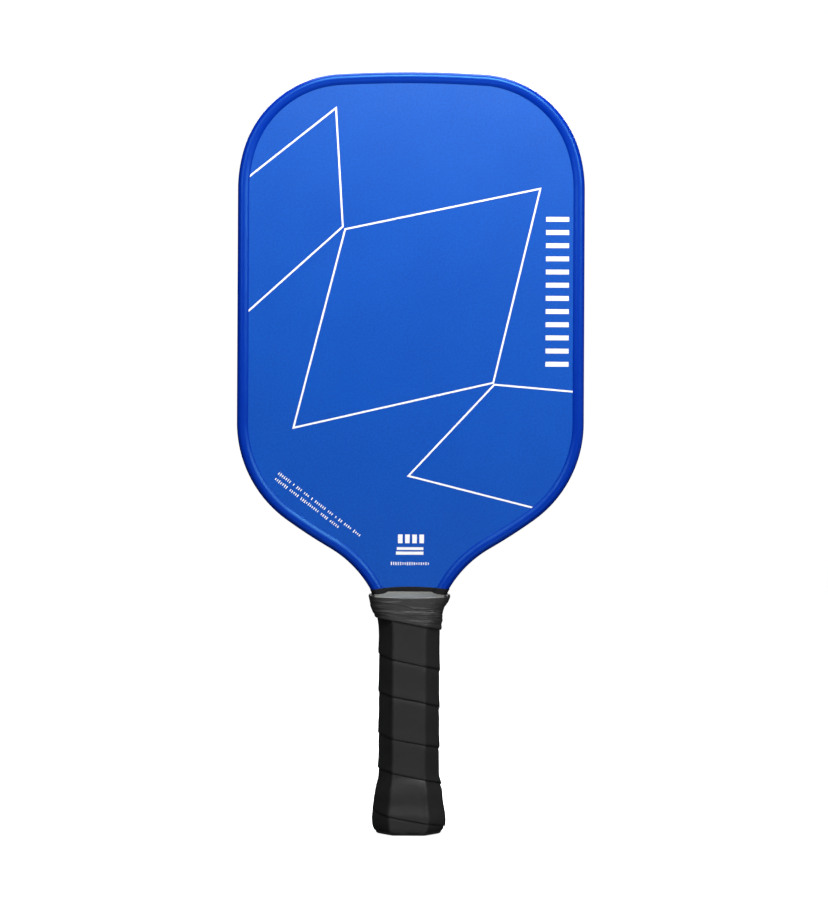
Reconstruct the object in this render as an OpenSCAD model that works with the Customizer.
// Pickleball paddle, built up the way the real one is laminated and wrapped.
// Z runs along the paddle, with the butt's flat end on Z = 0 and the crown of the head at the top.
// X is the width. The front striking face looks towards -Y.

/* [Head] */
// Overall length, butt to crown
paddle_length = 416.6; // [400:0.1:430]
// Radius of the nearly flat crown
crown_r = 650; // [400:5:900]
// Radius of the upper corners
corner_r = 58; // [50:1:70]
// Radius of the easing curve between an upper corner and the side
shoulder_r = 77; // [65:1:90]
// Length of the straight side
side_length = 127.5; // [110:0.5:140]
// Radius of the lower corners
lower_corner_r = 65.5; // [55:0.5:80]
// Radius of the flank that runs down to the throat
flank_r = 287; // [200:1:400]
// Radius of the hollow curve at the throat
throat_r = 61; // [50:1:64]

/* [Lay-up] */
// Thickness over both face sheets
panel_thick = 16; // [13:0.5:16]
// Thickness of one face sheet
face_thick = 0.6; // [0.4:0.1:1]
// Thickness of the bonding scrim under a face sheet
scrim_thick = 0.2; // [0.1:0.05:0.4]
// Honeycomb cell, measured across its flats
cell_across = 8; // [6:0.5:12]
// Honeycomb wall between two cells
cell_wall = 0.5; // [0.3:0.1:1]

/* [Edge guard] */
// How far the guard's lips reach in over the faces
lip_reach = 6.3; // [4:0.1:8]
// Thickness of a lip
lip_thick = 1.1; // [0.8:0.1:1.5]
// Thickness of the guard's back
guard_back = 1.6; // [1.2:0.1:2]
// Rounding of the guard's outer corners
guard_round = 2.6; // [1:0.1:3]
// Thickness of the bonding tape between the guard and the panel
bond_thick = 0.4; // [0.2:0.1:0.6]

/* [Handle] */
// Height where the guard ends and the handle begins
throat_height = 131.5; // [131:0.5:133]
// Width of the wrapped handle at its middle
grip_width = 33.2; // [31:0.1:36]
// Thickness of the wrapped handle at its middle
grip_depth = 29; // [27:0.1:31]
// Width of the wrapped handle's corner flats, measured along X
grip_corner = 7.6; // [6:0.1:9]
// Thickness of the grip strip
wrap_thick = 1.6; // [1.2:0.1:2]
// Thickness of the felt that backs the grip strip
underlay_thick = 0.4; // [0.2:0.1:0.6]
// Thickness of the finishing tape at the top of the grip
tape_thick = 0.5; // [0.3:0.1:0.8]
// Height of the grip strip's upper edge, under the finishing tape
grip_top = 119.5; // [116:0.5:122]

/* [Butt] */
// Height of the butt cap's mouth
cap_mouth = 34; // [30:1:40]
// Thickness of the butt cap's floor
cap_floor = 5; // [4:0.5:6]
// Radius of the plug in the cap's floor
plug_r = 9; // [7:0.5:10]
// Radius of a cap tack's shank
tack_r = 0.8; // [0.6:0.1:1]

/* [Hidden] */
$fn = 48;

BLUE = "#0b50c8";
DARK_BLUE = "#0a34a8";
BLACK = "#222224";

crown_turn = 3.5;
corner_turn = 70;
lower_turn = 54.2;
flank_turn = 5.7;
throat_turn = lower_turn + flank_turn;
half_panel = panel_thick / 2;
core_thick = panel_thick - 2 * (face_thick + scrim_thick);
panel_inset = guard_back + bond_thick;
tongue_foot = cap_floor;
lip_y = half_panel + lip_thick;
strip_thick = wrap_thick + underlay_thick;

// ---- Outline of the head: a walk along arcs that meet without a kink ----

// Height of the point where the throat curve has become the handle's straight side
tongue_top = paddle_length - crown_r * (1 - cos(crown_turn))
    - corner_r * (cos(crown_turn) - cos(crown_turn + corner_turn))
    - shoulder_r * cos(crown_turn + corner_turn) - side_length
    - lower_corner_r * sin(lower_turn) - flank_r * (sin(throat_turn) - sin(lower_turn))
    - throat_r * sin(throat_turn);
// The last part of the throat curve runs inside the handle
hidden_turn = asin((throat_height - tongue_top) / throat_r);

// Each row: radius (negative turns outwards), turn in degrees, straight length, steps
HEAD_ROUTE = [
    [crown_r, crown_turn, 0, 1],
    [corner_r, corner_turn, 0, 12],
    [shoulder_r, 90 - crown_turn - corner_turn, 0, 3],
    [0, 0, side_length, 1],
    [lower_corner_r, lower_turn, 0, 9],
    [flank_r, flank_turn, 0, 2],
    [-throat_r, throat_turn - hidden_turn, 0, 6]];
HIDDEN_ROUTE = [
    [-throat_r, hidden_turn, 0, 5],
    [0, 0, tongue_top - tongue_foot, 1]];

// A station is [x, z, heading]; the heading is 0 along +X and grows as the route turns down
function step(s, r, turn, run) = r == 0
    ? [s.x + run * cos(s[2]), s.y - run * sin(s[2]), s[2]]
    : let (h = s[2] + sign(r) * turn)
        [s.x + r * (sin(h) - sin(s[2])), s.y + r * (cos(h) - cos(s[2])), h];
function follow(s, leg) = [for (i = [1 : leg[3]]) step(s, leg[0], leg[1] * i / leg[3], leg[2])];
function walk(route, s, i = 0) = i == len(route) ? [] :
    let (points = follow(s, route[i]))
        concat(points, walk(route, points[len(points) - 1], i + 1));
function last(list) = list[len(list) - 1];

HEAD_START = [0, paddle_length, 0];
HEAD_STATIONS = concat([HEAD_START], walk(HEAD_ROUTE, HEAD_START));
TONGUE_STATIONS = walk(HIDDEN_ROUTE, last(HEAD_STATIONS));

// The point a given distance inside the outline at a station
function inside(s, d) = [s.x - d * sin(s[2]), s.y - d * cos(s[2])];
function half_outline(stations, d) = [for (s = stations) inside(s, d)];
function rest(list) = [for (i = [1 : len(list) - 1]) list[i]];
function backwards(list) = [for (i = [len(list) - 1 : -1 : 0]) list[i]];
function mirrored(points) = [for (p = points) [-p.x, p.y]];
function left_to_right(half) = concat(backwards(mirrored(rest(half))), half);

PANEL_HALF = half_outline(concat(HEAD_STATIONS, TONGUE_STATIONS), panel_inset);
GUARD_HALF = half_outline(HEAD_STATIONS, 0);

// Half width of an outline at a height
function widths(half) = [for (p = backwards(half)) [p.y, p.x]];
PANEL_WIDTHS = widths(PANEL_HALF);
GUARD_WIDTHS = widths(GUARD_HALF);
function panel_half_width(z) = z < tongue_foot || z > paddle_length - panel_inset
    ? 0 : lookup(z, PANEL_WIDTHS);

module panel_outline() polygon(left_to_right(PANEL_HALF));

// Fills from y0 to y1 with an outline drawn in XZ
module slab(y0, y1) translate([0, y1, 0]) rotate([90, 0, 0]) linear_extrude(y1 - y0) children();

// ---- Handle profile: an eight-sided section that changes along Z ----

// Half width of the wrapped handle at each height
HALF_WIDTHS = [
    [0, 15.6], [1.2, 17.6], [2.4, 18.9], [4.5, 19.8], [8, 20.15], [11, 20], [14.5, 19.3],
    [18, 18.8], [23, 18.4], [27, 17.5], [31, grip_width / 2], [106, grip_width / 2],
    [113, 16.9], [119.5, 17.9], [123, 19], [126, 20.3], [129.3, 21.6], [131.4, 20.6], [132.4, 16]];
// Half thickness of the wrapped handle at each height
HALF_DEPTHS = [
    [0, 13.4], [1.2, 15.4], [2.4, 16.7], [4.5, 17.6], [8, 17.95], [11, 17.8], [14.5, 17.1],
    [18, 16.6], [23, 16.2], [27, 15.4], [31, grip_depth / 2], [106, grip_depth / 2],
    [119.5, 14.7], [126, 15], [129.3, 15], [131.4, 10.4], [132.4, half_panel + 0.8]];
// How much each corner is cut at each height
CORNER_CUTS = [[0, grip_corner], [119.5, grip_corner], [129.3, 9], [131.4, 6.5], [132.4, 5]];

shoulder_top = last(HALF_WIDTHS)[0];
wrap_foot = HALF_WIDTHS[1][0];

// The section's corners at half width w and half thickness t, cut by c on each corner
function octagon(w, t, c) = [
    [w, -t + c], [w, t - c], [w - c, t], [-w + c, t],
    [-w, t - c], [-w, -t + c], [-w + c, -t], [w - c, -t]];

// The section at a height, a distance d under the wrapped surface
function handle_ring(z, d) = let (
        w = lookup(z, HALF_WIDTHS) - d,
        t = lookup(z, HALF_DEPTHS) - d,
        c = lookup(z, CORNER_CUTS) - d * (2 - sqrt(2)))
    [for (p = octagon(w, t, c)) [p.x, p.y, z]];

// The profile's sections from z0 to z1
function handle_rings(z0, z1, d) = concat([handle_ring(z0, d)],
    [for (p = HALF_WIDTHS) if (p[0] > z0 + 0.01 && p[0] < z1 - 0.01) handle_ring(p[0], d)],
    [handle_ring(z1, d)]);

// The faces that join ring a to ring b, each of n points
function band(a, b, n) = [for (i = [0 : n - 1]) let (j = (i + 1) % n)
    each [[a * n + i, b * n + i, b * n + j], [a * n + i, b * n + j, a * n + j]]];

// A closed solid through rings that all turn the same way
module loft(rings) {
    n = len(rings[0]);
    top = len(rings) - 1;
    polyhedron(
        points = [for (ring = rings) each ring],
        faces = concat(
            [[for (i = [0 : n - 1]) i]],
            [[for (i = [n - 1 : -1 : 0]) top * n + i]],
            [for (k = [0 : top - 1]) each band(k, k + 1, n)]));
}

// A sleeve: its rings run up the outside and back down the inside
module sleeve(outer, inner) {
    rings = concat(outer, backwards(inner));
    polyhedron(
        points = [for (ring = rings) each ring],
        faces = [for (k = [0 : len(rings) - 1]) each band(k, (k + 1) % len(rings), len(rings[0]))]);
}

// ---- Panel ----

// A cell's hexagon is smaller than its pitch by one wall
cell_r = (cell_across - cell_wall) / sqrt(3);
cell_edge = 0.6;
CELL_COLUMNS = ceil(95 / (cell_across * cos(30)));
CELL_ROWS = ceil(paddle_length / cell_across);

function cell_centre(column, row) = [
    column * cell_across * cos(30),
    (row + (abs(column) % 2) / 2) * cell_across];
function cell_fits(c) = min([for (a = [0 : 60 : 300])
    panel_half_width(c.y + cell_r * sin(a)) - abs(c.x + cell_r * cos(a))]) > cell_edge;

module honeycomb_core() {
    color("#e8e6dc")
        slab(-core_thick / 2, core_thick / 2)
            difference() {
                panel_outline();
                for (column = [-CELL_COLUMNS : CELL_COLUMNS], row = [0 : CELL_ROWS])
                    if (cell_fits(cell_centre(column, row)))
                        translate(cell_centre(column, row)) circle(r = cell_r, $fn = 6);
            }
}

// A sheet over the whole panel, from one depth to a deeper one under the front face
module front_sheet(shallow, deep) slab(-half_panel + shallow, -half_panel + deep) panel_outline();
module to_rear() mirror([0, 1, 0]) children();

module front_core_scrim() color("#f2f2ee") front_sheet(face_thick, face_thick + scrim_thick);
module rear_core_scrim() color("#f2f2ee") to_rear() front_sheet(face_thick, face_thick + scrim_thick);
module front_face_sheet() color(BLUE) front_sheet(0, face_thick);
module rear_face_sheet() color(BLUE) to_rear() front_sheet(0, face_thick);

// ---- Rim ----

module edge_bonding_tape() {
    color("#d8d8d0")
        slab(-half_panel, half_panel)
            polygon(concat(
                left_to_right(half_outline(HEAD_STATIONS, guard_back)),
                backwards(left_to_right(half_outline(HEAD_STATIONS, panel_inset)))));
}

// One rounded outer corner of the guard as [distance inside the outline, y]
round_steps = 4;
function guard_corner(side) = [for (i = [0 : round_steps]) let (a = 90 * i / round_steps)
    [guard_round * (1 - cos(a)), side * (lip_y - guard_round * (1 - sin(a)))]];

// The guard's channel section, open towards the panel
GUARD_SECTION = concat(
    guard_corner(-1),
    [[lip_reach, -lip_y], [lip_reach, -half_panel], [guard_back, -half_panel],
     [guard_back, half_panel], [lip_reach, half_panel], [lip_reach, lip_y]],
    backwards(guard_corner(1)));

function guard_ring(s, side) = [for (p = GUARD_SECTION) let (q = inside(s, p[0]))
    [side * q.x, p[1], q.y]];

module edge_guard() {
    color(DARK_BLUE)
        loft(concat(
            [for (s = backwards(rest(HEAD_STATIONS))) guard_ring(s, -1)],
            [for (s = HEAD_STATIONS) guard_ring(s, 1)]));
}

// ---- Throat ----

neck_tape_thick = 0.3;
neck_tape_top = 134.9;
neck_clearance = 0.1;
neck_ramp = 1.2;
neck_slant = cos(hidden_turn);

// The neck's section at a height: guard, lips and the face between them, grown by g
function neck_quarter(z, g) = let (w = lookup(z, GUARD_WIDTHS) + g, lip = lip_reach / neck_slant)
    concat(
        [for (p = guard_corner(1)) [w - p[0] / neck_slant, p[1] + g]],
        [[w - lip - 2 * g, lip_y + g], [w - lip - neck_ramp - 2 * g, half_panel + g]]);
function neck_ring(z, g) = let (
        q = neck_quarter(z, g),
        back = concat(q, backwards(mirrored(q))),
        front = [for (p = backwards(back)) [p.x, -p.y]])
    [for (p = concat(back, front)) [p.x, p.y, z]];

module throat_tape() {
    color(BLACK)
        sleeve(
            [for (z = [shoulder_top, neck_tape_top]) neck_ring(z, neck_clearance + neck_tape_thick)],
            [for (z = [shoulder_top, neck_tape_top]) neck_ring(z, neck_clearance)]);
}

// ---- Handle ----

cap_wall = 1.2;

// The straight section of the cap's socket, and of the shells inside it
function socket_ring(z) = [for (p = handle_ring(cap_mouth, strip_thick + cap_wall)) [p.x, p.y, z]];

// Both shells as one solid, before they are parted and hollowed for the tongue
module shell_body() {
    loft(concat(
        [socket_ring(cap_floor), socket_ring(cap_mouth)],
        handle_rings(cap_mouth, grip_top, strip_thick),
        handle_rings(grip_top, shoulder_top, tape_thick)));
}

module half_space(side) {
    size = 60;
    translate([-size / 2, side > 0 ? 0 : -size, -1]) cube([size, size, shoulder_top + 2]);
}

module handle_shell(side) {
    difference() {
        intersection() {
            shell_body();
            half_space(side);
        }
        slab(-half_panel, half_panel) panel_outline();
        tacks();
    }
}

module front_handle_shell() color("#3a3a3c") handle_shell(-1);
module rear_handle_shell() color("#3a3a3c") handle_shell(1);

// ---- Butt ----

tack_height = 22;
tack_spacing = 8;
tack_head_r = 2;
tack_head_thick = 0.8;
tack_length = 4.4;
tack_head_x = lookup(tack_height, HALF_WIDTHS) - strip_thick - tack_head_thick - 0.3;

// A tack driven inwards along X; a longer head makes its counterbore
module tack(head_thick) {
    rotate([0, 90, 0]) cylinder(h = head_thick, r = tack_head_r);
    translate([-tack_length, 0, 0]) rotate([0, 90, 0]) cylinder(h = tack_length, r = tack_r);
}
module tacks(head_thick = tack_head_thick) {
    for (side = [0, 1], y = [-tack_spacing / 2, tack_spacing / 2])
        mirror([side, 0, 0]) translate([tack_head_x, y, tack_height]) tack(head_thick);
}

plug_thick = 2.5;
spigot_r = 4;

// The plug's plate sits flush in the cap's floor, on a spigot that snaps through it
module plug_shape() {
    cylinder(h = plug_thick, r = plug_r);
    cylinder(h = cap_floor, r = spigot_r);
}

staple_height = 12;
staple_crown = 9;
staple_wire = 0.6;
staple_leg = 4;
staple_y = lookup(staple_height, HALF_DEPTHS) - wrap_thick + 0.2;

// A staple driven from the rear: its crown lies in the strip and its legs enter the cap
module staple_shape() {
    translate([-staple_crown / 2, staple_y, staple_height]) cube([staple_crown, staple_wire, 1.2]);
    for (x = [-staple_crown / 2, staple_crown / 2 - staple_wire])
        translate([x, staple_y - staple_leg, staple_height]) cube([staple_wire, staple_leg, 1.2]);
}

module butt_cap() {
    color(BLACK)
        difference() {
            loft(concat(
                [handle_ring(0, 0), handle_ring(wrap_foot, 0)],
                handle_rings(wrap_foot, cap_mouth, strip_thick)));
            loft([socket_ring(cap_floor), socket_ring(cap_mouth + 1)]);
            plug_shape();
            tacks(cap_wall * 3);
            staple_shape();
        }
}
module butt_end_plug() color("#2c2c2e") plug_shape();
module butt_cap_tacks() color("silver") tacks();
module grip_start_staple() color("silver") staple_shape();

// ---- Grip ----

module grip_underlay() {
    color("#8a8a86")
        difference() {
            sleeve(handle_rings(wrap_foot, grip_top, wrap_thick),
                handle_rings(wrap_foot, grip_top, strip_thick));
            staple_shape();
        }
}
module grip_wrap() {
    color(BLACK)
        difference() {
            sleeve(handle_rings(wrap_foot, grip_top, 0), handle_rings(wrap_foot, grip_top, wrap_thick));
            staple_shape();
        }
}
module finishing_tape() {
    color("#303032")
        sleeve(handle_rings(grip_top, shoulder_top, 0), handle_rings(grip_top, shoulder_top, tape_thick));
}

honeycomb_core();
front_core_scrim();
rear_core_scrim();
front_face_sheet();
rear_face_sheet();
edge_bonding_tape();
edge_guard();
throat_tape();
front_handle_shell();
rear_handle_shell();
butt_cap();
butt_end_plug();
butt_cap_tacks();
grip_underlay();
grip_start_staple();
grip_wrap();
finishing_tape();
